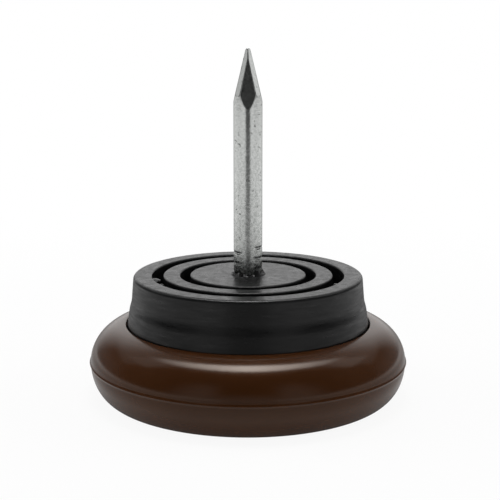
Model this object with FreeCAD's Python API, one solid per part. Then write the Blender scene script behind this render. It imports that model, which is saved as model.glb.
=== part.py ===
"""Nail-on furniture glide: a moulded plastic base, a rubber cushion snapped into it, and a nail.

Millimetres, +Z up along the nail, origin at the middle of the face that slides on the floor.
Radii grow outwards from the nail: shank, cushion disc, grooves and rim, then the base round them.
"""
import FreeCAD
import Part
import math
import os

# Nail, forged from wire and zinc plated
NAIL_LENGTH = 38.1           # from the flat of the head to the tip
SHANK_DIAMETER = 3.4
HEAD_DIAMETER = 8.0
HEAD_THICKNESS = 1.3
HEAD_CHAMFER = 0.3
FLAT_LENGTH = 6.7            # the four main flats of the point, back from the tip
FLAT_TIP_WIDTH = 0.66        # across those flats at the tip
CORNER_LENGTH = 5.3          # the four narrow flats between them
CORNER_TIP_WIDTH = 0.2
GRIP_MARK_COUNT = 3          # rings left by the die that holds the wire while its head is forged
GRIP_MARK_START = 10.55      # from the head to the first ring
GRIP_MARK_PITCH = 1.25
GRIP_MARK_WIDTH = 0.56
GRIP_MARK_DEPTH = 0.1

# Rubber cushion, seen from above: disc, groove, ring, groove, rim
DISC_DIAMETER = 13.8
INNER_GROOVE_WIDTH = 1.2
RING_WIDTH = 2.0
OUTER_GROOVE_WIDTH = 1.35
RIM_WIDTH = 2.2
GROOVE_DEPTH = 6.0
GROOVE_CHAMFER = 0.15
RIM_CHAMFER = 0.3

# Rubber cushion, side from the top down: wall, flare, skirt, neck, flange
WALL_HEIGHT = 3.02
WALL_DRAFT = 4.8             # degrees
FLARE_HEIGHT = 0.9
FLARE_STEP = 0.26
SKIRT_HEIGHT = 2.3
SKIRT_DRAFT = 8.2            # degrees
SKIRT_SINK = 0.5             # how far the skirt goes into the base's mouth
FLANGE_HEIGHT = 2.6
FLANGE_OVERHANG = 0.9        # held under the base's lip

# Plastic base
FLOOR_THICKNESS = 3.2        # under the nail's head
LIP_HEIGHT = 3.04            # from the undercut to the crest of the crown
LIP_CHAMFER = 0.15
BASE_WALL = 3.42             # round the undercut
PARTING_HEIGHT = 4.39        # the mould's parting line, at the widest place
CROWN_REACH = 5.02           # upper curve, from the widest place in to its crest
CROWN_SIDE_RADIUS = 3.6
SOLE_REACH = 2.98            # lower curve, from the widest place in to the flat sole
SOLE_SIDE_RADIUS = 6.1
RIDGE_PROUD = 0.13           # ridge of plastic left along the parting line
RIDGE_FOOT_WIDTH = 0.3
RIDGE_TOP_WIDTH = 0.12

# Clearances
BORE_CLEARANCE = 0.05        # rubber round the shank
HEAD_CLEARANCE = 0.1         # rubber round the nail's head
SEAT_CLEARANCE = 0.1         # base round and above the cushion's flange and neck

AXIS_POINT = FreeCAD.Vector(0, 0, 0)
AXIS = FreeCAD.Vector(0, 0, 1)
SIDEWAYS = FreeCAD.Vector(1, 0, 0)


def run_out(height, draft):
    """Sideways travel of a wall of this height that leans by the draft angle."""
    return height * math.tan(math.radians(draft))


# Heights that follow
floor_z = FLOOR_THICKNESS
head_top_z = floor_z + HEAD_THICKNESS
flange_top_z = floor_z + FLANGE_HEIGHT
undercut_top_z = flange_top_z + SEAT_CLEARANCE
crest_z = undercut_top_z + LIP_HEIGHT
skirt_bottom_z = crest_z - SKIRT_SINK
skirt_top_z = skirt_bottom_z + SKIRT_HEIGHT
wall_bottom_z = skirt_top_z + FLARE_HEIGHT
cushion_top_z = wall_bottom_z + WALL_HEIGHT
groove_floor_z = cushion_top_z - GROOVE_DEPTH
tip_z = floor_z + NAIL_LENGTH

# Radii that follow
shank_r = SHANK_DIAMETER / 2
head_r = HEAD_DIAMETER / 2
bore_r = shank_r + BORE_CLEARANCE
head_seat_r = head_r + HEAD_CLEARANCE
disc_r = DISC_DIAMETER / 2
ring_inner_r = disc_r + INNER_GROOVE_WIDTH
ring_outer_r = ring_inner_r + RING_WIDTH
rim_inner_r = ring_outer_r + OUTER_GROOVE_WIDTH
rim_outer_r = rim_inner_r + RIM_WIDTH
wall_bottom_r = rim_outer_r + run_out(WALL_HEIGHT, WALL_DRAFT)
skirt_top_r = wall_bottom_r + FLARE_STEP
neck_r = skirt_top_r + run_out(SKIRT_HEIGHT, SKIRT_DRAFT)
flange_r = neck_r + FLANGE_OVERHANG
mouth_r = neck_r + SEAT_CLEARANCE
undercut_r = flange_r + SEAT_CLEARANCE
body_r = undercut_r + BASE_WALL


def at(radius, height):
    """Point of a turned profile."""
    return FreeCAD.Vector(radius, 0, height)


def straight(points):
    """Straight edges through the points in turn."""
    return Part.makePolygon(points).Edges


def arc(centre, start, end):
    """Arc about a centre, the short way from start to end."""
    radius = (start - centre).Length
    bisector = (start - centre + end - centre).normalize()
    return Part.Arc(start, centre + bisector * radius, end).toShape()


def turned(edges):
    """Solid of revolution of a closed profile about the nail's axis."""
    face = Part.Face(Part.Wire(Part.__sortEdges__(edges)))
    return face.revolve(AXIS_POINT, AXIS, 360)


def spike(tip_width, flat_length, turn):
    """Square spike as long as the nail; its flats reach the shank `flat_length` from the tip."""
    spread = (SHANK_DIAMETER - tip_width) / flat_length
    foot = (tip_width + spread * NAIL_LENGTH) / 2
    tip = tip_width / 2
    solid = Part.makeWedge(-foot, 0, -foot, -tip, -tip, foot, NAIL_LENGTH, foot, tip, tip)
    solid.rotate(AXIS_POINT, SIDEWAYS, 90)
    solid.rotate(AXIS_POINT, AXIS, turn)
    solid.translate(at(0, floor_z))
    return solid


def make_nail():
    """Round wire nail with a flat head, grip marks on its shank and an eight-sided diamond point."""
    profile = [
        at(0, floor_z),
        at(head_r - HEAD_CHAMFER, floor_z),
        at(head_r, floor_z + HEAD_CHAMFER),
        at(head_r, head_top_z - HEAD_CHAMFER),
        at(head_r - HEAD_CHAMFER, head_top_z),
        at(shank_r, head_top_z),
    ]
    for mark in range(GRIP_MARK_COUNT):
        mark_z = head_top_z + GRIP_MARK_START + mark * GRIP_MARK_PITCH
        profile += [
            at(shank_r, mark_z - GRIP_MARK_WIDTH / 2),
            at(shank_r - GRIP_MARK_DEPTH, mark_z),
            at(shank_r, mark_z + GRIP_MARK_WIDTH / 2),
        ]
    profile += [at(shank_r, tip_z), at(0, tip_z), at(0, floor_z)]
    blank = turned(straight(profile))
    flats = spike(FLAT_TIP_WIDTH, FLAT_LENGTH, 0).common(spike(CORNER_TIP_WIDTH, CORNER_LENGTH, 45))
    return blank.common(flats)


def chamfered_land(inner_r, outer_r):
    """Profile of a flat top face with both edges chamfered, from its outer edge to its inner one."""
    shoulder_z = cushion_top_z - GROOVE_CHAMFER
    return [
        at(outer_r, shoulder_z),
        at(outer_r - GROOVE_CHAMFER, cushion_top_z),
        at(inner_r + GROOVE_CHAMFER, cushion_top_z),
        at(inner_r, shoulder_z),
    ]


def make_cushion():
    """Rubber cushion with two deep ring grooves, a flange below and a seat for the nail's head."""
    return turned(straight([
        at(head_seat_r, floor_z),
        at(flange_r, floor_z),
        at(flange_r, flange_top_z),
        at(neck_r, flange_top_z),
        at(neck_r, skirt_bottom_z),
        at(skirt_top_r, skirt_top_z),
        at(wall_bottom_r, wall_bottom_z),
        at(rim_outer_r + run_out(RIM_CHAMFER, WALL_DRAFT), cushion_top_z - RIM_CHAMFER),
        at(rim_outer_r - RIM_CHAMFER, cushion_top_z),
        at(rim_inner_r + GROOVE_CHAMFER, cushion_top_z),
        at(rim_inner_r, cushion_top_z - GROOVE_CHAMFER),
        at(rim_inner_r, groove_floor_z),
        at(ring_outer_r, groove_floor_z),
        *chamfered_land(ring_inner_r, ring_outer_r),
        at(ring_inner_r, groove_floor_z),
        at(disc_r, groove_floor_z),
        *chamfered_land(bore_r, disc_r),
        at(bore_r, head_top_z),
        at(head_seat_r, head_top_z),
        at(head_seat_r, floor_z),
    ]))


def outer_curve(reach, rise, side_radius):
    """Two tangent arcs of the base's side: upright at its widest place, level at `rise` above it.

    Gives the two centres, the point where the arcs meet and the radius of the second one.
    """
    height = abs(rise)
    end_radius = (reach ** 2 + height ** 2 - 2 * reach * side_radius) / (2 * (height - side_radius))
    side_centre = at(body_r - side_radius, PARTING_HEIGHT)
    end_centre = at(body_r - reach, PARTING_HEIGHT + math.copysign(1, rise) * (height - end_radius))
    outwards = side_centre - end_centre if end_radius > side_radius else end_centre - side_centre
    meeting = side_centre + outwards.normalize() * side_radius
    return side_centre, end_centre, meeting, end_radius


def ridge_foot(side_radius, side):
    """Point where the ridge along the parting line leaves the base's side, above (1) or below (-1) it."""
    half = RIDGE_FOOT_WIDTH / 2
    return at(body_r - side_radius + math.sqrt(side_radius ** 2 - half ** 2), PARTING_HEIGHT + side * half)


def make_base():
    """Plastic base: a rounded cup, undercut inside its mouth, with a ridge along its parting line."""
    crown_side, crown_end, crown_meeting, crown_radius = outer_curve(
        CROWN_REACH, crest_z - PARTING_HEIGHT, CROWN_SIDE_RADIUS)
    sole_side, sole_end, sole_meeting, _ = outer_curve(SOLE_REACH, -PARTING_HEIGHT, SOLE_SIDE_RADIUS)
    sole_edge = at(body_r - SOLE_REACH, 0)
    ridge_r = body_r + RIDGE_PROUD
    ridge = [
        ridge_foot(SOLE_SIDE_RADIUS, -1),
        at(ridge_r, PARTING_HEIGHT - RIDGE_TOP_WIDTH / 2),
        at(ridge_r, PARTING_HEIGHT + RIDGE_TOP_WIDTH / 2),
        ridge_foot(CROWN_SIDE_RADIUS, 1),
    ]
    # The crown runs in to the lip's chamfer, or to its own crest with a flat land from there in
    chamfer_r = mouth_r + LIP_CHAMFER
    lip_r = max(chamfer_r, crown_end.x)
    lip = at(lip_r, crown_end.z + math.sqrt(crown_radius ** 2 - (lip_r - crown_end.x) ** 2))
    land = [lip, at(chamfer_r, lip.z)] if lip_r > chamfer_r else [lip]
    inside = [
        *land,
        at(mouth_r, lip.z - LIP_CHAMFER),
        at(mouth_r, undercut_top_z),
        at(undercut_r, undercut_top_z),
        at(undercut_r, floor_z),
        at(0, floor_z),
        AXIS_POINT,
        sole_edge,
    ]
    curves = [
        arc(sole_end, sole_edge, sole_meeting),
        arc(sole_side, sole_meeting, ridge[0]),
        arc(crown_side, ridge[-1], crown_meeting),
        arc(crown_end, crown_meeting, lip),
    ]
    return turned(curves + straight(ridge) + straight(inside))


PIECES = {
    "base_cup": make_base,
    "rubber_cushion": make_cushion,
    "nail": make_nail,
}

os.makedirs("parts", exist_ok=True)
for node, make in PIECES.items():
    make().exportStep(f"parts/{node}.step")
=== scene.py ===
"""Nail-on furniture glide, dressed for a studio picture.

A brown moulded base, a grooved black rubber cushion and a zinc-plated nail, all about one upright axis.
Metres throughout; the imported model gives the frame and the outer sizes.
"""
import math

import bmesh
import bpy
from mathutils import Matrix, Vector


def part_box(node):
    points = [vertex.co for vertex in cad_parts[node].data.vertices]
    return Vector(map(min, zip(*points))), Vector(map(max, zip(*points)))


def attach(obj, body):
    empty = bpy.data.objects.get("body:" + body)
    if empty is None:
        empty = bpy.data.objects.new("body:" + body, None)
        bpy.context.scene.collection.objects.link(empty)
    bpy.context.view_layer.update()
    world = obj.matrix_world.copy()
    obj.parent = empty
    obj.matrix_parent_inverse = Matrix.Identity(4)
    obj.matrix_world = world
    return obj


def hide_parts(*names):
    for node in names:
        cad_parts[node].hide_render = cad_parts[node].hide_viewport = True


bl_info = {
    "name": "Nail-on Furniture Glide",
    "version": (1, 0, 0),
    "blender": (4, 5, 0),
    "location": "3D View > Sidebar > Glide",
    "description": "Builds a furniture glide with a plastic base, a rubber cushion and a nail",
    "category": "Add Mesh",
}

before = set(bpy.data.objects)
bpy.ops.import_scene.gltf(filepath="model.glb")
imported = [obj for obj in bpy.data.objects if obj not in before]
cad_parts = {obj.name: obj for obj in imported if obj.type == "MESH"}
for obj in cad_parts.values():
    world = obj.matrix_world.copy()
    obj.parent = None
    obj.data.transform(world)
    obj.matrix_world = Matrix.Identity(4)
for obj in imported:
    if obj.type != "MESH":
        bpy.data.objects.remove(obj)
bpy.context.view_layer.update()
BASE_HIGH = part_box("base_cup")[1]
CUSHION_LOW, CUSHION_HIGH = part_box("rubber_cushion")
NAIL_LOW, NAIL_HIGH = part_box("nail")

MM = 0.001
BODY = "root"
TURN_SEGMENTS = 256
NARROW_TURN_SEGMENTS = 128   # for the nail and the collar round it
CORNER_STEPS = 7
EDGE_GUARD = 0.06 * MM       # extra ring beside each rounded edge, which keeps the flat next to it flat
MERGE_DISTANCE = 0.0005 * MM

# Inputs of a Mix node, by place
VALUE_A = 2
VALUE_B = 3
COLOUR_A = 6
COLOUR_B = 7

# Inputs of the geometry trees
TURNING_NAME = "Turned about the axis"
TURNED_INPUTS = {"Segments": "Int", "Material": "Material"}
NAIL_SIZES = (
    "Tip height", "Shank radius", "Flat length", "Flat tip width", "Side length", "Side tip width",
    "Corner length", "Corner tip width", "Edge softness", "Ridge share",
    "Grip start", "Grip pitch", "Grip width", "Grip depth",
)


def linear(hex_colour):
    """Linear RGB of an sRGB hex colour."""
    channels = []
    for start in (1, 3, 5):
        value = int(hex_colour[start:start + 2], 16) / 255
        channels.append(value / 12.92 if value <= 0.04045 else ((value + 0.055) / 1.055) ** 2.4)
    return tuple(channels)


def length_setting(name, description, millimetres):
    """Length property with its default in millimetres."""
    return bpy.props.FloatProperty(
        name=name, description=description, default=millimetres * MM, unit="LENGTH", precision=5)


def colour_setting(name, description, hex_colour):
    """Colour property with its default as sRGB hex."""
    return bpy.props.FloatVectorProperty(
        name=name, description=description, default=linear(hex_colour), subtype="COLOR", min=0, max=1)


# Settings that a user would change

class GlideBaseSettings(bpy.types.PropertyGroup):
    """Sizes and colours of the plastic base."""
    radius: length_setting("Radius", "Over the ridge at the widest place", BASE_HIGH[0] / MM)
    floor_height: length_setting("Floor height", "Inside floor under the nail's head", NAIL_LOW[2] / MM)
    parting_height: length_setting("Parting height", "Height of the mould's parting line", 4.39)
    crest_height: length_setting("Crest height", "Height that the upper curve levels out at", 8.94)
    crown_reach: length_setting("Crown reach", "Upper curve, from the widest place to its crest", 5.02)
    sole_reach: length_setting("Sole reach", "Lower curve, from the widest place to the flat sole", 2.98)
    ridge_proud: length_setting("Ridge", "How far the parting ridge stands out", 0.13)
    ridge_width: length_setting("Ridge width", "Width of the parting ridge at half its height", 0.12)
    mouth_radius: length_setting("Mouth radius", "Opening that the cushion stands in", 14.595)
    lip_radius: length_setting("Lip radius", "Rounding of the mouth's edge", 0.16)
    undercut_height: length_setting("Undercut height", "Underside of the lip that holds the cushion", 5.9)
    undercut_clearance: length_setting("Undercut clearance", "Gap round the cushion's flange", 0.1)
    light_brown: colour_setting("Lighter brown", "Where the plastic flowed thin", "#3e220d")
    dark_brown: colour_setting("Darker brown", "Body of the plastic", "#351b08")
    skin_tint: colour_setting("Skin tint", "Warm cast of the glossy skin", "#fff2e6")


class GlideCushionSettings(bpy.types.PropertyGroup):
    """Sizes and colours of the rubber cushion."""
    flange_radius: length_setting("Flange radius", "Flange under the base's lip", CUSHION_HIGH[0] / MM)
    bottom_height: length_setting("Bottom height", "Underside of the flange", CUSHION_LOW[2] / MM)
    top_height: length_setting("Top height", "Top of the disc, ring and rim", CUSHION_HIGH[2] / MM)
    flange_top: length_setting("Flange top", "Upper side of the flange", 5.8)
    neck_radius: length_setting("Neck radius", "Neck inside the base's mouth", 14.495)
    skirt_bottom: length_setting("Skirt bottom", "Height that the skirt starts at", 8.44)
    skirt_top: length_setting("Skirt top", "Height that the flare starts at", 10.74)
    skirt_top_radius: length_setting("Skirt top radius", "Radius at the flare's lower edge", 14.16)
    wall_bottom: length_setting("Wall bottom", "Height that the flare ends at", 11.64)
    wall_bottom_radius: length_setting("Wall bottom radius", "Radius at the flare's upper edge", 13.9)
    rim_radius: length_setting("Rim radius", "Outer radius of the rim at its top", 13.65)
    rim_inner_radius: length_setting("Rim inner radius", "Inner radius of the rim", 11.45)
    ring_outer_radius: length_setting("Ring outer radius", "Outer radius of the ring", 10.1)
    ring_inner_radius: length_setting("Ring inner radius", "Inner radius of the ring", 8.1)
    disc_radius: length_setting("Disc radius", "Radius of the middle disc", 6.9)
    groove_depth: length_setting("Groove depth", "Depth of both grooves", 6.0)
    groove_lean: length_setting("Groove lean", "How far a groove's wall leans in to its floor", 0.1)
    groove_edge: length_setting("Groove edge", "Rounding of the grooves' edges", 0.2)
    rim_edge: length_setting("Rim edge", "Rounding of the rim's outer edge", 0.42)
    flare_blend: length_setting("Flare blend", "Rounding of the flare", 4.0)
    bore_radius: length_setting("Bore radius", "Hole for the nail's shank", 1.75)
    head_seat_radius: length_setting("Head seat radius", "Hollow for the nail's head", 4.1)
    head_seat_top: length_setting("Head seat top", "Roof of the hollow for the nail's head", 4.5)
    rubber: colour_setting("Rubber", "Body of the rubber", "#060606")
    bloom: colour_setting("Bloom", "Dusty bloom on the rubber's skin", "#0e0e0f")


class GlideTearSettings(bpy.types.PropertyGroup):
    """Sizes of the rubber that the nail tore up and of the moulding nibs."""
    collar_height: length_setting("Collar height", "Highest shred against the nail", 0.75)
    collar_width: length_setting("Collar width", "Width of the collar at its foot", 0.4)
    collar_side: bpy.props.FloatProperty(
        name="Collar side", description="Direction in which the collar stands highest",
        default=math.radians(-25), subtype="ANGLE")
    nib_radius: length_setting("Nib radius", "Place of the nibs, out from the axis", 11.2)
    nib_height: length_setting("Nib height", "Height of the nibs' middle", 14.46)
    nib_size: length_setting("Nib size", "Half length of the largest nib", 0.75)
    seed: bpy.props.IntProperty(name="Seed", description="Which ragged shape the tear takes", default=4)


class GlideNailSettings(bpy.types.PropertyGroup):
    """Sizes and colours of the nail."""
    foot_height: length_setting("Foot height", "Underside of the head", NAIL_LOW[2] / MM)
    tip_height: length_setting("Tip height", "Height of the tip", NAIL_HIGH[2] / MM)
    head_radius: length_setting("Head radius", "Radius of the hidden head", NAIL_HIGH[0] / MM)
    head_thickness: length_setting("Head thickness", "Thickness of the hidden head", 1.3)
    head_edge: length_setting("Head edge", "Rounding of the head", 0.3)
    shank_radius: length_setting("Shank radius", "Radius of the wire", 1.7)
    flat_length: length_setting("Flat length", "Front and back flats, back from the tip", 6.75)
    flat_tip_width: length_setting("Flat tip width", "Across the front and back flats at the tip", 0.86)
    side_length: length_setting("Side length", "Left and right flats, back from the tip", 6.1)
    side_tip_width: length_setting("Side tip width", "Across the left and right flats at the tip", 0.52)
    corner_length: length_setting("Corner length", "Narrow flats between them, back from the tip", 5.4)
    corner_tip_width: length_setting("Corner tip width", "Across the narrow flats at the tip", 0.34)
    tip_round: length_setting("Tip rounding", "Height of the rounded tip", 0.27)
    edge_softness: length_setting("Edge softness", "Rounding of the edges between the flats", 0.04)
    ridge_share: bpy.props.FloatProperty(
        name="Ridge share", description="Rounding of the point's ridges, as a share of its radius",
        default=0.35, min=0)
    grip_count: bpy.props.IntProperty(
        name="Grip notches", description="Notches pressed in each side near the foot", default=3, min=0)
    grip_start: length_setting("Grip start", "Height of the lowest notch", 14.9)
    grip_pitch: length_setting("Grip pitch", "Spacing of the notches", 1.25)
    grip_width: length_setting("Grip width", "Height of one notch", 0.5)
    grip_depth: length_setting("Grip depth", "Depth of one notch", 0.055)
    scuff_top: length_setting("Scuff top", "Height that the scuffed plating starts at", 33.0)
    scuff_foot: length_setting("Scuff foot", "Height that the plating is fully scuffed at", 18.0)
    # Heights over which the nail turns darker grey in patches, just above the rubber
    darkening_top: length_setting("Stain top", "Height that the rubber's stain on the nail starts at", 17.1)
    darkening_foot: length_setting("Stain foot", "Height that the nail is fully stained at", 15.2)
    zinc: colour_setting("Zinc", "Bright zinc plating", "#e4e6e4")
    dull_zinc: colour_setting("Dull zinc", "Rubbed plating", "#b6b9b6")
    pit: colour_setting("Pits", "Dark pits in the plating", "#5c5f5c")
    # Darker grey of the patches just above the rubber
    darkening: colour_setting("Stain", "Plating stained by the rubber", "#676a67")


class GlideStageSettings(bpy.types.PropertyGroup):
    """Camera and background."""
    focal_length: bpy.props.FloatProperty(
        name="Focal length", description="Lens in millimetres on a 36 mm sensor", default=88.79, min=1)
    camera_side: length_setting("Camera side", "Camera's place across the view", 0.24)
    camera_distance: length_setting("Camera distance", "From the nail's axis to the camera", 143.92)
    camera_height: length_setting("Camera height", "Camera above the floor", 47.0)
    camera_tilt: bpy.props.FloatProperty(
        name="Camera tilt", description="How far the camera looks down", default=math.radians(11.564),
        subtype="ANGLE")
    background: colour_setting("Background", "Floor and backdrop", "#ffffff")


# Node and mesh helpers

def add_node(tree, kind, links=None, **settings):
    """New node with its settings, its inputs set to values or linked to sockets or nodes' results."""
    node = tree.nodes.new(kind)
    for name, value in settings.items():
        setattr(node, name, value)
    for key, source in (links or {}).items():
        if isinstance(source, bpy.types.Node):
            source = next(socket for socket in source.outputs if socket.enabled)
        if isinstance(source, bpy.types.NodeSocket):
            tree.links.new(source, node.inputs[key])
        else:
            node.inputs[key].default_value = source
    return node


def new_tree(name, inputs):
    """Geometry tree with named inputs, each of its kind, and the sockets that give them."""
    tree = bpy.data.node_groups.new(name, "GeometryNodeTree")
    tree.interface.new_socket("Geometry", in_out="INPUT", socket_type="NodeSocketGeometry")
    for label, kind in inputs.items():
        tree.interface.new_socket(label, in_out="INPUT", socket_type=f"NodeSocket{kind}")
    tree.interface.new_socket("Geometry", in_out="OUTPUT", socket_type="NodeSocketGeometry")
    return tree, tree.nodes.new("NodeGroupInput").outputs


def end_tree(tree, geometry, material):
    """End a tree in one plain mesh with its material."""
    real = add_node(tree, "GeometryNodeRealizeInstances", {"Geometry": geometry})
    coated = add_node(tree, "GeometryNodeSetMaterial", {"Geometry": real, "Material": material})
    add_node(tree, "NodeGroupOutput", {"Geometry": coated})


def profile_curve(name, points, closed):
    """Curve object through (radius, height) points, for a tree to sweep about the upright axis."""
    curve = bpy.data.curves.new(name, "CURVE")
    curve.dimensions = "3D"
    spline = curve.splines.new("POLY")
    spline.points.add(len(points) - 1)
    for point, (radius, height) in zip(spline.points, points):
        point.co = (radius, height, 0, 1)
    spline.use_cyclic_u = closed
    return bpy.data.objects.new(name, curve)


def finished_piece(name, source, tree, inputs):
    """Plain mesh object made from a source object by a geometry tree."""
    scene = bpy.context.scene
    scene.collection.objects.link(source)
    modifier = source.modifiers.new(tree.name, "NODES")
    modifier.node_group = tree
    for item in tree.interface.items_tree:
        if item.in_out == "INPUT" and item.name in inputs:
            modifier[item.identifier] = inputs[item.name]
    evaluated = source.evaluated_get(bpy.context.evaluated_depsgraph_get())
    mesh = bpy.data.meshes.new_from_object(evaluated)
    bpy.data.objects.remove(source)
    # A primitive's own slot comes first and is empty
    if mesh.materials[0] is None:
        mesh.materials.pop(index=0)
    shell = bmesh.new()
    shell.from_mesh(mesh)
    bmesh.ops.remove_doubles(shell, verts=shell.verts, dist=MERGE_DISTANCE)
    bmesh.ops.dissolve_degenerate(shell, edges=shell.edges, dist=MERGE_DISTANCE)
    bmesh.ops.recalc_face_normals(shell, faces=shell.faces)
    if not shell.faces:
        raise RuntimeError(f"{name} came out empty")
    shell.to_mesh(mesh)
    shell.free()
    mesh.name = name
    piece = bpy.data.objects.new(name, mesh)
    scene.collection.objects.link(piece)
    return piece


def round_corners(corners):
    """Points through (radius, height, rounding) in turn, each corner an arc between guard rings."""
    points = []
    count = len(corners)
    for index, (radius, height, rounding) in enumerate(corners):
        corner = Vector((radius, height))
        if rounding == 0:
            points.append(tuple(corner))
            continue
        last = Vector(corners[index - 1][:2])
        following = Vector(corners[(index + 1) % count][:2])
        back = (last - corner).normalized()
        ahead = (following - corner).normalized()
        half = back.angle(ahead) / 2
        setback = rounding / math.tan(half)
        centre = corner + (back + ahead).normalized() * (rounding / math.sin(half))
        start = corner + back * setback
        end = corner + ahead * setback
        points.append(tuple(start + back * EDGE_GUARD))
        arm = start - centre
        sweep = arm.angle_signed(end - centre)
        for step in range(CORNER_STEPS + 1):
            turn = -sweep * step / CORNER_STEPS
            points.append((
                centre.x + arm.x * math.cos(turn) - arm.y * math.sin(turn),
                centre.y + arm.x * math.sin(turn) + arm.y * math.cos(turn),
            ))
        points.append(tuple(end + ahead * EDGE_GUARD))
    return points


def turning_tree():
    """Tree that sweeps a profile curve once about the upright axis, as a lathe or a round mould does."""
    tree, given = new_tree(TURNING_NAME, TURNED_INPUTS)
    path_radius = 20 * MM
    path = add_node(tree, "GeometryNodeCurvePrimitiveCircle", {
        "Resolution": given["Segments"], "Radius": path_radius,
    })
    upright = add_node(tree, "GeometryNodeSetCurveNormal", {"Curve": path}, mode="Z_UP")
    inwards = add_node(tree, "GeometryNodeTransform", {
        "Geometry": given["Geometry"], "Translation": (-path_radius, 0, 0), "Scale": (1, -1, 1),
    })
    sweep = add_node(tree, "GeometryNodeCurveToMesh", {"Curve": upright, "Profile Curve": inwards})
    closed = add_node(tree, "GeometryNodeMergeByDistance", {
        "Geometry": sweep, "Distance": MERGE_DISTANCE,
    })
    smooth = add_node(tree, "GeometryNodeSetShadeSmooth", {"Geometry": closed})
    end_tree(tree, smooth, given["Material"])
    return tree


def shared_turning_tree():
    """The turning tree, made once."""
    return bpy.data.node_groups.get(TURNING_NAME) or turning_tree()


def new_material(name):
    """Material with an empty tree, and its object coordinates."""
    material = bpy.data.materials.new(name)
    material.use_nodes = True
    tree = material.node_tree
    tree.nodes.clear()
    return material, tree, add_node(tree, "ShaderNodeTexCoord").outputs["Object"]


def per_metre(millimetres):
    """Noise scale whose grains are about this many millimetres across."""
    return 1 / (millimetres * MM)


# Materials

def brown_polypropylene(settings):
    """Polypropylene, injection moulded in a polished tool.

    It gives a dark brown body under a clear glossy skin with a faint orange peel and soft flow marks.
    """
    material, tree, place = new_material("Moulded brown polypropylene")
    flow_size = 5.0
    peel_size = 0.35
    peel_depth = 0.01 * MM
    shiny, dull = 0.15, 0.22
    flow = add_node(tree, "ShaderNodeTexNoise", {
        "Vector": place, "Scale": per_metre(flow_size), "Detail": 4.0,
    })
    colour = add_node(tree, "ShaderNodeMix", {
        "Factor": flow, COLOUR_A: (*settings.dark_brown, 1), COLOUR_B: (*settings.light_brown, 1),
    }, data_type="RGBA")
    peel = add_node(tree, "ShaderNodeTexNoise", {
        "Vector": place, "Scale": per_metre(peel_size), "Detail": 3.0,
    })
    polish = add_node(tree, "ShaderNodeMapRange", {"Value": peel, "To Min": shiny, "To Max": dull})
    bump = add_node(tree, "ShaderNodeBump", {"Height": peel, "Strength": 0.3, "Distance": peel_depth})
    shader = add_node(tree, "ShaderNodeBsdfPrincipled", {
        "Base Color": colour, "Roughness": polish, "Normal": bump,
        "IOR": 1.46, "Specular Tint": (*settings.skin_tint, 1),
    })
    add_node(tree, "ShaderNodeOutputMaterial", {"Surface": shader})
    return material


def black_rubber(settings):
    """Black rubber, compression moulded and rubbed.

    It gives a near-black body with a waxy sheen, a mottled top and fine streaks along the side.
    """
    material, tree, place = new_material("Moulded black rubber")
    mottle_size = 0.9            # coarser than the real skin, so that it shows
    streak_length = 2.6
    streak_stretch = 8.0
    relief_depth = 0.04 * MM
    # Where each pattern starts and is full, in noise values, and where a slope counts as the top
    blotch_start, blotch_full = 0.38, 0.62
    streak_start, streak_full = 0.3, 0.7
    slope_start, slope_full = 0.4, 0.9
    # Roughness and strength of the relief
    side_shiny, side_dull = 0.25, 0.45
    top_shiny, top_dull = 0.27, 0.39
    side_relief, top_relief = 0.35, 0.4
    mottle = add_node(tree, "ShaderNodeTexNoise", {
        "Vector": place, "Scale": per_metre(mottle_size), "Detail": 4.0, "Roughness": 0.75,
    })
    blotches = add_node(tree, "ShaderNodeMapRange", {
        "Value": mottle, "From Min": blotch_start, "From Max": blotch_full,
    })
    drawn_out = add_node(tree, "ShaderNodeMapping", {"Vector": place, "Scale": (1, 1, streak_stretch)})
    streaks = add_node(tree, "ShaderNodeTexNoise", {
        "Vector": drawn_out, "Scale": per_metre(streak_length), "Detail": 4.0, "Roughness": 0.6,
    })
    normal = add_node(tree, "ShaderNodeNewGeometry").outputs["Normal"]
    upward = add_node(tree, "ShaderNodeSeparateXYZ", {"Vector": normal}).outputs["Z"]
    on_top = add_node(tree, "ShaderNodeMapRange", {
        "Value": upward, "From Min": slope_start, "From Max": slope_full,
    })
    relief = add_node(tree, "ShaderNodeMix", {"Factor": on_top, VALUE_A: streaks, VALUE_B: blotches})
    colour = add_node(tree, "ShaderNodeMix", {
        "Factor": relief, COLOUR_A: (*settings.rubber, 1), COLOUR_B: (*settings.bloom, 1),
    }, data_type="RGBA")
    side_finish = add_node(tree, "ShaderNodeMapRange", {
        "Value": streaks, "From Min": streak_start, "From Max": streak_full,
        "To Min": side_shiny, "To Max": side_dull,
    })
    top_finish = add_node(tree, "ShaderNodeMapRange", {
        "Value": blotches, "To Min": top_dull, "To Max": top_shiny,
    })
    finish = add_node(tree, "ShaderNodeMix", {
        "Factor": on_top, VALUE_A: side_finish, VALUE_B: top_finish,
    })
    strength = add_node(tree, "ShaderNodeMapRange", {
        "Value": on_top, "To Min": side_relief, "To Max": top_relief,
    })
    bump = add_node(tree, "ShaderNodeBump", {
        "Height": relief, "Strength": strength, "Distance": relief_depth,
    })
    shader = add_node(tree, "ShaderNodeBsdfPrincipled", {
        "Base Color": colour, "Roughness": finish, "Normal": bump, "IOR": 1.48,
    })
    add_node(tree, "ShaderNodeOutputMaterial", {"Surface": shader})
    return material


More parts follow.
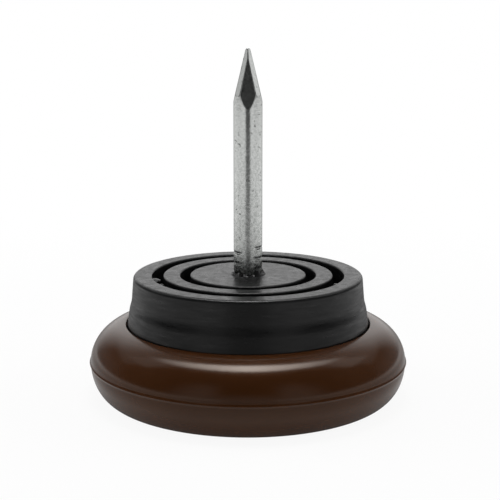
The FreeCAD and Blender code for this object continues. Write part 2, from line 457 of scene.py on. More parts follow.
def zinc_plate(settings):
    """Bright zinc, barrel plated on drawn steel wire.

    It gives a pale grey metal with a fine grain, small dark pits and a soft shine. It is scuffed dull
    towards the foot, and darker grey in patches just above the rubber.
    """
    material, tree, place = new_material("Barrel-plated zinc")
    grain_size = 0.32            # coarser than the real grain, so that it shows
    pit_size = 0.55
    grain_depth = 0.03 * MM
    # Where each pattern starts and is full, in noise values
    speck_start, speck_full = 0.58, 0.4
    pit_start, pit_full = 0.62, 0.72
    patch_start, patch_full = 0.62, 0.5
    # Roughness, strength of the relief, and the least share of specks and of the darker grey near the
    # rubber
    shiny, dull = 0.12, 0.3
    scuff_dulling = 0.07
    bright_relief, scuffed_relief = 0.3, 0.7
    least_specks = 0.35
    least_darkening = 0.3
    grain = add_node(tree, "ShaderNodeTexNoise", {
        "Vector": place, "Scale": per_metre(grain_size), "Detail": 3.0, "Roughness": 0.7,
    })
    pits = add_node(tree, "ShaderNodeTexNoise", {
        "Vector": place, "Scale": per_metre(pit_size), "Detail": 3.0, "Roughness": 0.65,
    })
    height = add_node(tree, "ShaderNodeSeparateXYZ", {"Vector": place}).outputs["Z"]
    scuffed = add_node(tree, "ShaderNodeMapRange", {
        "Value": height, "From Min": settings.scuff_top, "From Max": settings.scuff_foot,
    })
    specks = add_node(tree, "ShaderNodeMapRange", {
        "Value": grain, "From Min": speck_start, "From Max": speck_full,
    })
    speckled = add_node(tree, "ShaderNodeMapRange", {"Value": scuffed, "To Min": least_specks})
    dullness = add_node(tree, "ShaderNodeMath", {0: specks, 1: speckled}, operation="MULTIPLY")
    pitted = add_node(tree, "ShaderNodeMapRange", {
        "Value": pits, "From Min": pit_start, "From Max": pit_full,
    })
    # Darker grey in patches towards the rubber, fullest just above it
    near_rubber = add_node(tree, "ShaderNodeMapRange", {
        "Value": height, "From Min": settings.darkening_top, "From Max": settings.darkening_foot,
    })
    patchy = add_node(tree, "ShaderNodeMapRange", {
        "Value": grain, "From Min": patch_start, "From Max": patch_full, "To Min": least_darkening,
    })
    darkened = add_node(tree, "ShaderNodeMath", {0: near_rubber, 1: patchy}, operation="MULTIPLY")
    colour = (*settings.zinc, 1)
    marks = ((dullness, settings.dull_zinc), (pitted, settings.pit), (darkened, settings.darkening))
    for share, mark in marks:
        colour = add_node(tree, "ShaderNodeMix", {
            "Factor": share, COLOUR_A: colour, COLOUR_B: (*mark, 1),
        }, data_type="RGBA")
    polish = add_node(tree, "ShaderNodeMapRange", {"Value": grain, "To Min": shiny, "To Max": dull})
    finish = add_node(tree, "ShaderNodeMath", {
        0: scuffed, 1: scuff_dulling, 2: polish,
    }, operation="MULTIPLY_ADD")
    strength = add_node(tree, "ShaderNodeMapRange", {
        "Value": scuffed, "To Min": bright_relief, "To Max": scuffed_relief,
    })
    bump = add_node(tree, "ShaderNodeBump", {
        "Height": grain, "Strength": strength, "Distance": grain_depth,
    })
    shader = add_node(tree, "ShaderNodeBsdfPrincipled", {
        "Base Color": colour, "Roughness": finish, "Normal": bump, "Metallic": 1,
    })
    add_node(tree, "ShaderNodeOutputMaterial", {"Surface": shader})
    return material


# Profiles and trees of the pieces

def base_profile(size):
    """Outline of the base from the middle of its sole, round its side and lip, to its inside floor."""
    body_radius = size.radius - size.ridge_proud
    curve_steps = 40
    ridge_steps = 12
    ridge_span = 2 * size.ridge_width
    crest_radius = body_radius - size.crown_reach
    crown_rise = size.crest_height - size.parting_height
    lip_reach = size.mouth_radius + size.lip_radius - crest_radius
    lip_angle = math.acos(lip_reach / size.crown_reach)
    ridge_angle_low = math.asin(ridge_span / size.parting_height)
    ridge_angle_high = math.asin(ridge_span / crown_rise)
    points = [(0, 0)]
    for step in range(curve_steps + 1):
        angle = -math.pi / 2 + (math.pi / 2 - ridge_angle_low) * step / curve_steps
        points.append((
            body_radius + size.sole_reach * (math.cos(angle) - 1),
            size.parting_height * (1 + math.sin(angle)),
        ))
    for step in range(1, ridge_steps):
        rise = ridge_span * (2 * step / ridge_steps - 1)
        bead = size.ridge_proud * math.exp(-(rise / size.ridge_width) ** 2)
        points.append((body_radius + bead, size.parting_height + rise))
    for step in range(curve_steps + 1):
        angle = ridge_angle_high + (lip_angle - ridge_angle_high) * step / curve_steps
        points.append((
            crest_radius + size.crown_reach * math.cos(angle),
            size.parting_height + crown_rise * math.sin(angle),
        ))
    lip_height = points[-1][1]
    for step in range(1, CORNER_STEPS + 1):
        angle = math.pi / 2 * (1 + step / CORNER_STEPS)
        points.append((
            size.mouth_radius + size.lip_radius * (1 + math.cos(angle)),
            lip_height + size.lip_radius * (math.sin(angle) - 1),
        ))
    undercut_radius = CUSHION_HIGH[0] + size.undercut_clearance
    points += [
        (size.mouth_radius, size.undercut_height),
        (undercut_radius, size.undercut_height),
        (undercut_radius, size.floor_height),
        (0, size.floor_height),
    ]
    return points


def cushion_profile(size):
    """Outline of the cushion, round its side, over its grooved top and down through its bore."""
    top = size.top_height
    groove_floor = top - size.groove_depth
    edge = size.groove_edge
    lean = size.groove_lean
    return round_corners([
        (size.head_seat_radius, size.bottom_height, 0),
        (size.flange_radius, size.bottom_height, edge),
        (size.flange_radius, size.flange_top, edge),
        (size.neck_radius, size.flange_top, edge),
        (size.neck_radius, size.skirt_bottom, edge),
        (size.skirt_top_radius, size.skirt_top, size.flare_blend),
        (size.wall_bottom_radius, size.wall_bottom, size.flare_blend),
        (size.rim_radius, top, size.rim_edge),
        (size.rim_inner_radius, top, edge),
        (size.rim_inner_radius - lean, groove_floor, edge),
        (size.ring_outer_radius + lean, groove_floor, edge),
        (size.ring_outer_radius, top, edge),
        (size.ring_inner_radius, top, edge),
        (size.ring_inner_radius - lean, groove_floor, edge),
        (size.disc_radius + lean, groove_floor, edge),
        (size.disc_radius, top, edge),
        (size.bore_radius, top, edge),
        (size.bore_radius, size.head_seat_top, 0),
        (size.head_seat_radius, size.head_seat_top, 0),
    ])


def nail_profile(size):
    """Outline of the nail's blank: head, shank and a blunt end that the flats are pressed on."""
    head_top = size.foot_height + size.head_thickness
    fine = 0.07 * MM
    coarse = 0.6 * MM
    point_margin = 1.3           # fine rings reach past the flats by this factor
    grip_foot = size.grip_start - size.grip_pitch
    grip_top = size.grip_start + (size.grip_count + 0.5) * size.grip_pitch
    point_foot = size.tip_height - point_margin * size.flat_length
    points = round_corners([
        (0, size.foot_height, 0),
        (size.head_radius, size.foot_height, size.head_edge),
        (size.head_radius, head_top, size.head_edge),
        (size.shank_radius, head_top, 0),
    ])
    for low, high, spacing in (
            (head_top, grip_foot, coarse),
            (grip_foot, grip_top, fine),
            (grip_top, point_foot, coarse),
            (point_foot, size.tip_height - size.tip_round, fine)):
        rings = round((high - low) / spacing)
        for ring in range(1, rings + 1):
            points.append((size.shank_radius, low + (high - low) * ring / rings))
    # The tip's dome is as wide as the point's corners at its foot, so that no ledge is left
    narrow = size.corner_tip_width / 2
    spread = (size.shank_radius - narrow) / size.corner_length
    dome_radius = math.sqrt(2) * (narrow + spread * size.tip_round)
    for step in range(1, CORNER_STEPS + 1):
        angle = math.pi / 2 * step / CORNER_STEPS
        points.append((
            dome_radius * math.cos(angle),
            size.tip_height - size.tip_round * (1 - math.sin(angle)),
        ))
    return points


def grip_notches(tree, given, axes):
    """How deep the grip notches go, as a share of the shank: a row on each side, half a pitch apart."""
    press_start, press_full = 0.3, 0.8       # how far out to the side, as a share of the shank
    depth_share = add_node(tree, "ShaderNodeMath", {
        0: given["Grip depth"], 1: given["Shank radius"],
    }, operation="DIVIDE")
    half_pitch = add_node(tree, "ShaderNodeMath", {0: given["Grip pitch"], 1: 0.5}, operation="MULTIPLY")
    half_width = add_node(tree, "ShaderNodeMath", {0: given["Grip width"], 1: 0.5}, operation="MULTIPLY")
    row_length = add_node(tree, "ShaderNodeMath", {
        0: given["Grip count"], 1: given["Grip pitch"],
    }, operation="MULTIPLY")
    sideways = add_node(tree, "ShaderNodeMath", {
        0: axes["X"], 1: given["Shank radius"],
    }, operation="DIVIDE")
    total = 0.0
    for side in (-1, 1):
        first = add_node(tree, "ShaderNodeMath", {
            0: half_pitch, 1: max(side, 0), 2: given["Grip start"],
        }, operation="MULTIPLY_ADD")
        up = add_node(tree, "ShaderNodeMath", {0: axes["Z"], 1: first}, operation="SUBTRACT")
        in_row = add_node(tree, "ShaderNodeMath", {0: up, 1: half_pitch})
        above = add_node(tree, "ShaderNodeMath", {0: in_row, 1: 0.0}, operation="GREATER_THAN")
        below = add_node(tree, "ShaderNodeMath", {0: in_row, 1: row_length}, operation="LESS_THAN")
        off_centre = add_node(tree, "ShaderNodeMath", {
            0: in_row, 1: given["Grip pitch"],
        }, operation="FLOORED_MODULO")
        from_notch = add_node(tree, "ShaderNodeMath", {
            0: off_centre, 1: half_pitch,
        }, operation="SUBTRACT")
        distance = add_node(tree, "ShaderNodeMath", {0: from_notch}, operation="ABSOLUTE")
        cut = add_node(tree, "ShaderNodeMapRange", {
            "Value": distance, "From Max": half_width, "To Min": 1.0, "To Max": 0.0,
        }, interpolation_type="SMOOTHSTEP")
        facing = add_node(tree, "ShaderNodeMath", {0: sideways, 1: side}, operation="MULTIPLY")
        pressed = add_node(tree, "ShaderNodeMapRange", {
            "Value": facing, "From Min": press_start, "From Max": press_full,
        }, interpolation_type="SMOOTHSTEP")
        depth = cut
        for share in (above, below, pressed, depth_share):
            depth = add_node(tree, "ShaderNodeMath", {0: depth, 1: share}, operation="MULTIPLY")
        total = add_node(tree, "ShaderNodeMath", {0: total, 1: depth})
    return total


def point_tree():
    """Tree that turns the nail's blank, presses the eight flats of its point and notches its foot."""
    tree, given = new_tree("Nail with a diamond point", {
        **TURNED_INPUTS, **dict.fromkeys(NAIL_SIZES, "Float"), "Grip count": "Int",
    })
    blank = add_node(tree, "GeometryNodeGroup", {
        label: given[label] for label in ("Geometry", *TURNED_INPUTS)
    }, node_tree=shared_turning_tree())
    place = add_node(tree, "GeometryNodeInputPosition")
    axes = add_node(tree, "ShaderNodeSeparateXYZ", {"Vector": place}).outputs
    below_tip = add_node(tree, "ShaderNodeMath", {
        0: given["Tip height"], 1: axes["Z"],
    }, operation="SUBTRACT")
    turned_45 = add_node(tree, "ShaderNodeVectorRotate", {
        "Vector": place, "Angle": math.pi / 4,
    }, rotation_type="Z_AXIS")
    corner_axes = add_node(tree, "ShaderNodeSeparateXYZ", {"Vector": turned_45}).outputs
    level = add_node(tree, "ShaderNodeVectorMath", {0: place, 1: (1, 1, 0)}, operation="MULTIPLY")
    out = add_node(tree, "ShaderNodeVectorMath", {0: level}, operation="LENGTH")
    ridge = add_node(tree, "ShaderNodeMath", {0: out, 1: given["Ridge share"]}, operation="MULTIPLY")
    softness = add_node(tree, "ShaderNodeMath", {
        0: given["Edge softness"], 1: given["Shank radius"],
    }, operation="DIVIDE")
    share = 1.0
    for kind, across in (
            ("Flat", (axes["Y"],)),
            ("Side", (axes["X"],)),
            ("Corner", (corner_axes["X"], corner_axes["Y"]))):
        half_tip = add_node(tree, "ShaderNodeMath", {
            0: given[f"{kind} tip width"], 1: 0.5,
        }, operation="MULTIPLY")
        widening = add_node(tree, "ShaderNodeMath", {
            0: given["Shank radius"], 1: half_tip,
        }, operation="SUBTRACT")
        slope = add_node(tree, "ShaderNodeMath", {
            0: widening, 1: given[f"{kind} length"],
        }, operation="DIVIDE")
        reach = add_node(tree, "ShaderNodeMath", {
            0: below_tip, 1: slope, 2: half_tip,
        }, operation="MULTIPLY_ADD")
        furthest = None
        for axis in across:
            span = add_node(tree, "ShaderNodeMath", {0: axis}, operation="ABSOLUTE")
            furthest = span if furthest is None else add_node(tree, "ShaderNodeMath", {
                0: span, 1: furthest, 2: ridge,
            }, operation="SMOOTH_MAX")
        off_axis = add_node(tree, "ShaderNodeMath", {0: furthest, 1: MERGE_DISTANCE}, operation="MAXIMUM")
        flat = add_node(tree, "ShaderNodeMath", {0: reach, 1: off_axis}, operation="DIVIDE")
        share = add_node(tree, "ShaderNodeMath", {0: flat, 1: share, 2: softness}, operation="SMOOTH_MIN")
    notches = grip_notches(tree, given, axes)
    notched = add_node(tree, "ShaderNodeMath", {0: share, 1: notches}, operation="SUBTRACT")
    narrowing = add_node(tree, "ShaderNodeCombineXYZ", {"X": notched, "Y": notched, "Z": 1.0})
    pressed = add_node(tree, "ShaderNodeVectorMath", {0: place, 1: narrowing}, operation="MULTIPLY")
    formed = add_node(tree, "GeometryNodeSetPosition", {"Geometry": blank, "Position": pressed})
    end_tree(tree, formed, given["Material"])
    return tree


def torn_collar_tree():
    """Tree that turns a collar and tears its upper edge, higher on one side."""
    tree, given = new_tree("Torn rubber collar", {
        **TURNED_INPUTS, "Foot height": "Float", "High side": "Float", "Seed": "Int",
    })
    blank = add_node(tree, "GeometryNodeGroup", {
        label: given[label] for label in ("Geometry", *TURNED_INPUTS)
    }, node_tree=shared_turning_tree())
    shred_size = 0.9
    tear_start, tear_full = 0.35, 0.65       # noise values at which a shred starts and is full
    shred_share = 0.8                        # shares of the collar's height
    side_share = 0.3
    least_share = 0.12
    place = add_node(tree, "GeometryNodeInputPosition")
    axes = add_node(tree, "ShaderNodeSeparateXYZ", {"Vector": place}).outputs
    tear = add_node(tree, "ShaderNodeTexNoise", {
        "Vector": place, "W": given["Seed"], "Scale": per_metre(shred_size),
        "Detail": 3.0, "Roughness": 0.6,
    }, noise_dimensions="4D")
    angle = add_node(tree, "ShaderNodeMath", {0: axes["Y"], 1: axes["X"]}, operation="ARCTAN2")
    from_side = add_node(tree, "ShaderNodeMath", {0: angle, 1: given["High side"]}, operation="SUBTRACT")
    lean = add_node(tree, "ShaderNodeMath", {0: from_side}, operation="COSINE")
    ragged = add_node(tree, "ShaderNodeMapRange", {
        "Value": tear, "From Min": tear_start, "From Max": tear_full, "To Max": shred_share,
    })
    left_up = add_node(tree, "ShaderNodeMath", {
        0: lean, 1: side_share, 2: ragged,
    }, operation="MULTIPLY_ADD")
    share = add_node(tree, "ShaderNodeClamp", {"Value": left_up, "Min": least_share, "Max": 1.0})
    rise = add_node(tree, "ShaderNodeMath", {0: axes["Z"], 1: given["Foot height"]}, operation="SUBTRACT")
    only_up = add_node(tree, "ShaderNodeMath", {0: rise, 1: 0.0}, operation="MAXIMUM")
    lower = add_node(tree, "ShaderNodeMath", {0: share, 1: 1.0}, operation="SUBTRACT")
    drop = add_node(tree, "ShaderNodeMath", {0: only_up, 1: lower}, operation="MULTIPLY")
    shift = add_node(tree, "ShaderNodeCombineXYZ", {"Z": drop})
    torn = add_node(tree, "GeometryNodeSetPosition", {"Geometry": blank, "Offset": shift})
    end_tree(tree, torn, given["Material"])
    return tree


def nib_tree():
    """Tree that puts a lumpy nib on every point, along the groove and as large as the point says."""
    tree, given = new_tree("Moulding nibs", {"Size": "Float", "Material": "Material", "Seed": "Int"})
    nib_shape = (0.75, 1.0, 0.3)             # shares of the size out from the axis, along and up
    ball_subdivisions = 4
    lump_size = 0.35
    lump_depth = 0.1 * MM
    ball = add_node(tree, "GeometryNodeMeshIcoSphere", {
        "Radius": given["Size"], "Subdivisions": ball_subdivisions,
    })
    flat = add_node(tree, "GeometryNodeTransform", {"Geometry": ball, "Scale": nib_shape})
    place = add_node(tree, "GeometryNodeInputPosition")
    level = add_node(tree, "ShaderNodeVectorMath", {0: place, 1: (1, 1, 0)}, operation="MULTIPLY")
    outward = add_node(tree, "FunctionNodeAlignRotationToVector", {"Vector": level}, axis="X")
    share = add_node(tree, "GeometryNodeInputNamedAttribute", {"Name": "share"}, data_type="FLOAT")
    nibs = add_node(tree, "GeometryNodeInstanceOnPoints", {
        "Points": given["Geometry"], "Instance": flat, "Rotation": outward, "Scale": share,
    })
    real = add_node(tree, "GeometryNodeRealizeInstances", {"Geometry": nibs})
    lumps = add_node(tree, "ShaderNodeTexNoise", {
        "W": given["Seed"], "Scale": per_metre(lump_size), "Detail": 2.0,
    }, noise_dimensions="4D")
    swell = add_node(tree, "ShaderNodeMapRange", {
        "Value": lumps, "To Min": -lump_depth, "To Max": lump_depth,
    })
    normal = add_node(tree, "GeometryNodeInputNormal")
    push = add_node(tree, "ShaderNodeVectorMath", {0: normal, "Scale": swell}, operation="SCALE")
    lumpy = add_node(tree, "GeometryNodeSetPosition", {"Geometry": real, "Offset": push})
    smooth = add_node(tree, "GeometryNodeSetShadeSmooth", {"Geometry": lumpy})
    coated = add_node(tree, "GeometryNodeSetMaterial", {
        "Geometry": smooth, "Material": given["Material"],
    })
    add_node(tree, "NodeGroupOutput", {"Geometry": coated})
    return tree


def nib_points(size):
    """Mesh of single points on the rim's inner wall, each with its share of the nib size."""
    places = (
        (math.radians(195), 1.0),
        (math.radians(207), 0.4),
        (math.radians(-25), 0.45),
    )
    mesh = bpy.data.meshes.new("nib_points")
    mesh.from_pydata([
        (size.nib_radius * math.cos(angle), size.nib_radius * math.sin(angle), size.nib_height)
        for angle, _ in places
    ], [], [])
    shares = mesh.attributes.new("share", "FLOAT", "POINT")
    for item, (_, share) in zip(shares.data, places):
        item.value = share
    return bpy.data.objects.new("nib_points", mesh)


# Stage

def background_rays(tree):
    """Two masks: rays from the camera, and rays from reflections or through glass."""
    path = add_node(tree, "ShaderNodeLightPath").outputs
    mirrored = add_node(tree, "ShaderNodeMath", {
        0: path["Is Glossy Ray"], 1: path["Is Transmission Ray"],
    }, operation="MAXIMUM")
    return path["Is Camera Ray"], mirrored


def stage_piece(name, corners, faces, material):
    """Stage mesh that isn't part of the object."""
    mesh = bpy.data.meshes.new(name)
    mesh.from_pydata(corners, [], faces)
    mesh.materials.append(material)
    piece = bpy.data.objects.new(name, mesh)
    bpy.context.scene.collection.objects.link(piece)
    return piece


def only_in_reflections(piece):
    """Show a stage piece to glossy rays alone."""
    piece.visible_camera = False
    piece.visible_diffuse = False
    piece.visible_shadow = False
    piece.visible_transmission = False


def within_edges(tree, brightness, edges):
    """Brightness inside soft edges, each a place, its value where all is dark and where all is bright."""
    for place, dark, bright in edges:
        edge = add_node(tree, "ShaderNodeMapRange", {
            "Value": place, "From Min": dark, "From Max": bright,
        })
        brightness = add_node(tree, "ShaderNodeMath", {0: brightness, 1: edge}, operation="MULTIPLY")
    return brightness


def white_sweep(settings):
    """Matt white paint that keeps the object's shadow, and glows white where the camera looks past it.

    Reflections see a painted glow instead of the lit paint: a painted shadow under the base, painted
    light round its foot and far out, and painted grey at both sides.
    """
    material, tree, place = new_material("White sweep")
    paint_white = 0.8
    near_reach, far_reach = 30 * MM, 130 * MM
    near_share = 0.92
    bounce_share = 0.4
    in_camera, in_mirror = background_rays(tree)
    away = add_node(tree, "ShaderNodeVectorMath", {0: place}, operation="LENGTH")
    clear = add_node(tree, "ShaderNodeMapRange", {
        "Value": away, "From Min": near_reach, "From Max": far_reach, "To Min": near_share,
    }, interpolation_type="SMOOTHSTEP")
    clear_camera = add_node(tree, "ShaderNodeMath", {0: clear, 1: in_camera}, operation="MULTIPLY")
    glow_share = add_node(tree, "ShaderNodeMath", {0: clear_camera, 1: bounce_share}, operation="MAXIMUM")
    glow = add_node(tree, "ShaderNodeEmission", {"Color": (*settings.background, 1), "Strength": 1.0})
    paint = add_node(tree, "ShaderNodeBsdfDiffuse", {"Color": (paint_white, paint_white, paint_white, 1)})
    seen = add_node(tree, "ShaderNodeMixShader", {"Fac": glow_share, 1: paint, 2: glow})

    # In reflections: distances from the axis, and the painted brightness there, with a painted shadow
    # under the base and painted light round its foot
    sole_edge, base_edge, foot_end = 16.5 * MM, 20.5 * MM, 42 * MM
    painted_shadow_level, painted_foot_level, painted_foot_end_level = 0.05, 0.58, 0.11
    far_start, far_end = 50 * MM, 100 * MM
    far_light = 0.72
    beside_light = 0.28
    painted_shadow_under_base = add_node(tree, "ShaderNodeMapRange", {
        "Value": away, "From Min": sole_edge, "From Max": base_edge, "To Min": painted_shadow_level,
    })
    painted_light_at_foot = add_node(tree, "ShaderNodeMapRange", {
        "Value": away, "From Min": base_edge, "From Max": foot_end,
        "To Min": painted_foot_level, "To Max": painted_foot_end_level,
    })
    far_out = add_node(tree, "ShaderNodeMapRange", {
        "Value": away, "From Min": far_start, "From Max": far_end, "To Max": far_light,
    })
    axes = add_node(tree, "ShaderNodeSeparateXYZ", {"Vector": place}).outputs
    sideways = add_node(tree, "ShaderNodeMath", {0: axes["X"]}, operation="ABSOLUTE")
    side_share = add_node(tree, "ShaderNodeMath", {0: sideways, 1: away}, operation="DIVIDE")
    beside = within_edges(tree, beside_light, (
        (side_share, 0.4, 0.75),
        (away, 24 * MM, 40 * MM),
        (away, 90 * MM, 50 * MM),
    ))
    # Straight behind the object the far floor is painted dimmer in reflections
    back_start, back_full = 0.6, 0.95
    painted_back_dimming = 0.45
    back_share = add_node(tree, "ShaderNodeMath", {0: axes["Y"], 1: away}, operation="DIVIDE")
    behind = add_node(tree, "ShaderNodeMapRange", {
        "Value": back_share, "From Min": back_start, "From Max": back_full,
        "To Min": 1.0, "To Max": painted_back_dimming,
    })
    beyond = add_node(tree, "ShaderNodeMath", {0: far_out, 1: behind}, operation="MULTIPLY")
    mirrored = add_node(tree, "ShaderNodeMath", {
        0: painted_light_at_foot, 1: painted_shadow_under_base, 2: beyond,
    }, operation="MULTIPLY_ADD")
    all_mirrored = add_node(tree, "ShaderNodeMath", {0: mirrored, 1: beside})
    # Painted reflection: glossy rays see this glow, with its painted shadow and painted light, not the
    # lit paint
    painted_floor_reflection = add_node(tree, "ShaderNodeEmission", {"Strength": all_mirrored})
    both = add_node(tree, "ShaderNodeMixShader", {"Fac": in_mirror, 1: seen, 2: painted_floor_reflection})
    add_node(tree, "ShaderNodeOutputMaterial", {"Surface": both})
    return material


def dim_wall():
    """Dim studio wall that opens towards the white backdrop, with soft sides and a soft top.

    It is a little lighter low down at the back, beside the opening, and grey in its two front corners.
    """
    material, tree, place = new_material("Dim studio wall")
    wall_light, back_light, corner_light = 0.03, 0.12, 0.3
    facing = add_node(tree, "ShaderNodeVectorMath", {0: place}, operation="NORMALIZE")
    axes = add_node(tree, "ShaderNodeSeparateXYZ", {"Vector": facing}).outputs
    sideways = add_node(tree, "ShaderNodeMath", {0: axes["X"]}, operation="ABSOLUTE")
    opening_edges = ((sideways, 0.64, 0.3), (axes["Z"], 0.75, 0.45), (axes["Y"], 0.1, 0.4))
    back_edges = ((axes["Y"], 0.12, 0.4), (axes["Z"], 0.5, 0.25))
    corner_edges = ((sideways, 0.25, 0.45), (axes["Y"], -0.5, -0.75), (axes["Z"], 0.9, 0.6))
    light = wall_light
    for more, edges in ((back_light, back_edges), (corner_light, corner_edges)):
        light = add_node(tree, "ShaderNodeMath", {0: light, 1: within_edges(tree, more, edges)})
    wall = add_node(tree, "ShaderNodeEmission", {"Strength": light})
    gone = add_node(tree, "ShaderNodeBsdfTransparent")
    opening = within_edges(tree, 1.0, opening_edges)
    both = add_node(tree, "ShaderNodeMixShader", {"Fac": opening, 1: wall, 2: gone})
    add_node(tree, "ShaderNodeOutputMaterial", {"Surface": both})
    return material


def studio_dome(radius):
    """Half dome of dim wall round the object."""
    turns = 48
    rises = 12
    corners = []
    for rise in range(rises + 1):
        up = math.pi / 2 * rise / rises
        for turn in range(turns):
            round_by = 2 * math.pi * turn / turns
            corners.append((
                radius * math.cos(up) * math.cos(round_by),
                radius * math.cos(up) * math.sin(round_by),
                radius * math.sin(up),
            ))
    faces = []
    for rise in range(rises):
        for turn in range(turns):
            beside = (turn + 1) % turns
            low = rise * turns
            high = low + turns
            faces.append((low + turn, low + beside, high + beside, high + turn))
    only_in_reflections(stage_piece("studio_dome", corners, faces, dim_wall()))


def graded_light(name, axis, near, far, near_light, far_light):
    """Light that changes with the distance along one axis, alike on both sides of the middle."""
    material, tree, place = new_material(name)
    along = add_node(tree, "ShaderNodeSeparateXYZ", {"Vector": place}).outputs[axis]
    distance = add_node(tree, "ShaderNodeMath", {0: along}, operation="ABSOLUTE")
    brightness = add_node(tree, "ShaderNodeMapRange", {
        "Value": distance, "From Min": near, "From Max": far, "To Min": near_light, "To Max": far_light,
    })
    glow = add_node(tree, "ShaderNodeEmission", {"Strength": brightness})
    add_node(tree, "ShaderNodeOutputMaterial", {"Surface": glow})
    return material


def curved_strip(height, reach, depth, forward, bow, brightest):
    """Overhead strip light that bows back at its ends and fades along its length."""
    material = graded_light("Curved strip light", "X", 0.0, reach, brightest, 0.0)
    steps = 32
    corners = []
    for step in range(steps + 1):
        share = 2 * step / steps - 1
        middle = forward + bow * share ** 2
        corners.append((reach * share, middle - depth / 2, height))
        corners.append((reach * share, middle + depth / 2, height))
    faces = [(2 * step, 2 * step + 1, 2 * step + 3, 2 * step + 2) for step in range(steps)]
    only_in_reflections(stage_piece("curved_strip", corners, faces, material))


def upright_card(name, centre, across, height, low, high, blend_height):
    """Upright card from one brightness at its foot to another, `across` its half width as a vector."""
    foot = centre[2] - height / 2
    material = graded_light(name, "Z", foot, foot + blend_height, low, high)
    side = Vector(across)
    up = Vector((0, 0, height / 2))
    middle = Vector(centre)
    corners = [middle - side - up, middle + side - up, middle + side + up, middle - side + up]
    only_in_reflections(stage_piece(name, corners, [(0, 1, 2, 3)], material))


def softbox(name, centre, target, width, depth, radiance, in_reflections):
    """Rectangular lamp of an even brightness, where 1 is white."""
    lamp = bpy.data.lights.new(name, "AREA")
    lamp.shape = "RECTANGLE"
    lamp.size = width
    lamp.size_y = depth
    lamp.energy = radiance * math.pi * width * depth
    holder = bpy.data.objects.new(name, lamp)
    holder.location = centre
    holder.rotation_euler = (Vector(target) - Vector(centre)).to_track_quat("-Z", "Y").to_euler()
    holder.visible_camera = False
    holder.visible_glossy = in_reflections
    bpy.context.scene.collection.objects.link(holder)


def white_world(settings):
    """Backdrop that the camera and reflections see as white, and that fills softly from behind."""
    front_fill, back_fill = 0.1, 0.8
    front, back = -0.5, 0.8                  # how far back a direction points, where each fill is full
    world = bpy.data.worlds.new("White backdrop")
    world.use_nodes = True
    tree = world.node_tree
    tree.nodes.clear()
    in_camera, in_mirror = background_rays(tree)
    shown = add_node(tree, "ShaderNodeMath", {0: in_camera, 1: in_mirror}, operation="MAXIMUM")
    direction = add_node(tree, "ShaderNodeTexCoord").outputs["Generated"]
    backward = add_node(tree, "ShaderNodeSeparateXYZ", {"Vector": direction}).outputs["Y"]
    fill = add_node(tree, "ShaderNodeMapRange", {
        "Value": backward, "From Min": front, "From Max": back, "To Min": front_fill, "To Max": back_fill,
    })
    strength = add_node(tree, "ShaderNodeMath", {0: shown, 1: fill}, operation="MAXIMUM")
    white = add_node(tree, "ShaderNodeBackground", {
        "Color": (*settings.background, 1), "Strength": strength,
    })
    add_node(tree, "ShaderNodeOutputWorld", {"Surface": white})
    return world


def reflected_room():
    """What only reflections show: a dim room, an overhead strip, a dark lens and two side cards."""
    studio_dome(radius=0.6)
    curved_strip(height=0.42, reach=0.29, depth=0.13, forward=0.01, bow=0.19, brightest=10.5)
    upright_card("lens_front", centre=(0, -0.08, 0.025), across=(0.025, 0, 0), height=0.05,
                 low=0.36, high=0.02, blend_height=0.03)
    for side, name, low, high in ((-1, "card_left", 0.5, 0.58), (1, "card_right", 0.7, 0.82)):
        upright_card(name, centre=(side * 0.046, 0.003, 0.0485), across=(0, 0.011, 0), height=0.025,
                     low=low, high=high, blend_height=0.025)


def lamps():
    """Softbox overhead, and one behind and one beside the object on each side."""
    middle = (0, 0, 0)
    softbox("key_softbox", centre=(0, 0.01, 0.42), target=(0, 0.01, 0), width=0.16, depth=0.13,
            radiance=9.5, in_reflections=False)
    for side, name in ((-1, "left"), (1, "right")):
        softbox(f"back_{name}", centre=(side * 0.25, 0.22, 0.34), target=middle, width=0.36, depth=0.3,
                radiance=0.25, in_reflections=True)
        softbox(f"side_{name}", centre=(side * 0.45, 0.05, 0.2), target=middle, width=0.4, depth=0.4,
                radiance=2.0, in_reflections=False)


# Operators

class GLIDE_OT_base(bpy.types.Operator):
    """Make the brown plastic base"""
    bl_idname = "glide.make_base"
    bl_label = "Make base"

    def execute(self, context):
        size = context.scene.glide_base
        source = profile_curve("base_outline", base_profile(size), closed=False)
        piece = finished_piece("base_cup_moulded", source, shared_turning_tree(), {
            "Segments": TURN_SEGMENTS, "Material": brown_polypropylene(size),
        })
        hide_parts("base_cup")
        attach(piece, BODY)
        return {"FINISHED"}


class GLIDE_OT_cushion(bpy.types.Operator):
    """Make the grooved rubber cushion"""
    bl_idname = "glide.make_cushion"
    bl_label = "Make cushion"

    def execute(self, context):
        size = context.scene.glide_cushion
        source = profile_curve("cushion_outline", cushion_profile(size), closed=True)
        piece = finished_piece("rubber_cushion_moulded", source, shared_turning_tree(), {
            "Segments": TURN_SEGMENTS, "Material": black_rubber(size),
        })
        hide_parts("rubber_cushion")
        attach(piece, BODY)
        return {"FINISHED"}


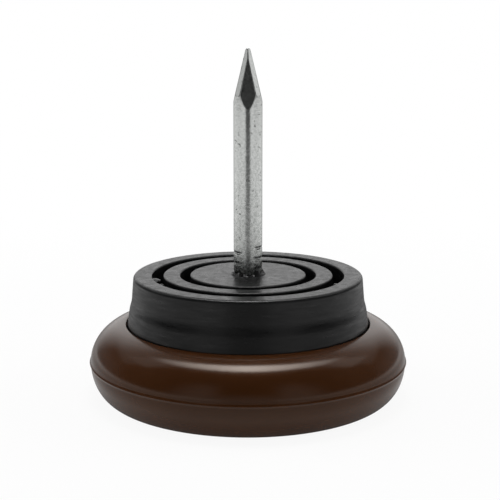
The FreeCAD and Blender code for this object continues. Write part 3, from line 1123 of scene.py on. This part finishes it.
class GLIDE_OT_torn_rubber(bpy.types.Operator):
    """Make the torn collar at the nail's foot and the nibs in the outer groove"""
    bl_idname = "glide.make_torn_rubber"
    bl_label = "Make torn rubber"

    def execute(self, context):
        scene = context.scene
        size = scene.glide_tear
        rubber = bpy.data.materials["Moulded black rubber"]
        foot = scene.glide_cushion.top_height
        inner = scene.glide_nail.shank_radius
        sunk = scene.glide_cushion.groove_edge
        lip_share = 0.3
        lip = lip_share * size.collar_width
        source = profile_curve("collar_outline", round_corners([
            (inner, foot - sunk, 0),
            (inner + size.collar_width, foot - sunk, 0),
            (inner + size.collar_width, foot, lip),
            (inner + lip, foot + size.collar_height, lip / 2),
            (inner, foot + size.collar_height, 0),
        ]), closed=True)
        collar = finished_piece("torn_collar", source, torn_collar_tree(), {
            "Segments": NARROW_TURN_SEGMENTS,
            "Material": rubber,
            "Foot height": foot,
            "High side": size.collar_side,
            "Seed": size.seed,
        })
        nibs = finished_piece("groove_nibs", nib_points(size), nib_tree(), {
            "Size": size.nib_size, "Material": rubber, "Seed": size.seed,
        })
        for piece in (collar, nibs):
            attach(piece, BODY)
        return {"FINISHED"}


class GLIDE_OT_nail(bpy.types.Operator):
    """Make the zinc-plated nail"""
    bl_idname = "glide.make_nail"
    bl_label = "Make nail"

    def execute(self, context):
        size = context.scene.glide_nail
        source = profile_curve("nail_outline", nail_profile(size), closed=False)
        inputs = {"Segments": NARROW_TURN_SEGMENTS, "Material": zinc_plate(size)}
        for label in (*NAIL_SIZES, "Grip count"):
            inputs[label] = getattr(size, label.lower().replace(" ", "_"))
        piece = finished_piece("nail_forged", source, point_tree(), inputs)
        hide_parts("nail")
        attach(piece, BODY)
        return {"FINISHED"}


class GLIDE_OT_stage(bpy.types.Operator):
    """Set the floor, backdrop, lamps and camera"""
    bl_idname = "glide.make_stage"
    bl_label = "Make stage"

    def execute(self, context):
        scene = context.scene
        size = scene.glide_stage
        scene.view_settings.view_transform = "Standard"
        floor_reach = 3.0
        corners = [
            (side * floor_reach, end * floor_reach, 0)
            for side, end in ((-1, -1), (1, -1), (1, 1), (-1, 1))
        ]
        stage_piece("floor", corners, [(0, 1, 2, 3)], white_sweep(size))
        scene.world = white_world(size)
        reflected_room()
        lamps()
        lens = bpy.data.cameras.new("camera")
        lens.lens = size.focal_length
        lens.clip_start = 1 * MM
        camera = bpy.data.objects.new("camera", lens)
        camera.location = (size.camera_side, -size.camera_distance, size.camera_height)
        camera.rotation_euler = (math.pi / 2 - size.camera_tilt, 0, 0)
        scene.collection.objects.link(camera)
        scene.camera = camera
        return {"FINISHED"}


# Panel and registration

STEPS = (
    ("glide_base", GlideBaseSettings, GLIDE_OT_base),
    ("glide_cushion", GlideCushionSettings, GLIDE_OT_cushion),
    ("glide_tear", GlideTearSettings, GLIDE_OT_torn_rubber),
    ("glide_nail", GlideNailSettings, GLIDE_OT_nail),
    ("glide_stage", GlideStageSettings, GLIDE_OT_stage),
)


class GLIDE_PT_panel(bpy.types.Panel):
    """Sidebar panel with the glide's settings and steps"""
    bl_idname = "GLIDE_PT_panel"
    bl_label = "Furniture glide"
    bl_space_type = "VIEW_3D"
    bl_region_type = "UI"
    bl_category = "Glide"

    def draw(self, context):
        for name, group, operator in STEPS:
            box = self.layout.box()
            settings = getattr(context.scene, name)
            for setting in group.__annotations__:
                box.prop(settings, setting)
            box.operator(operator.bl_idname)


def register():
    """Register the classes and put the settings on the scene."""
    for name, group, operator in STEPS:
        bpy.utils.register_class(group)
        setattr(bpy.types.Scene, name, bpy.props.PointerProperty(type=group))
        bpy.utils.register_class(operator)
    bpy.utils.register_class(GLIDE_PT_panel)


def unregister():
    """Take the classes and settings away again."""
    bpy.utils.unregister_class(GLIDE_PT_panel)
    for name, group, operator in reversed(STEPS):
        bpy.utils.unregister_class(operator)
        delattr(bpy.types.Scene, name)
        bpy.utils.unregister_class(group)


def main():
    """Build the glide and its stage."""
    register()
    bpy.ops.glide.make_base()
    bpy.ops.glide.make_cushion()
    bpy.ops.glide.make_torn_rubber()
    bpy.ops.glide.make_nail()
    bpy.ops.glide.make_stage()


if __name__ == "__main__":
    main()
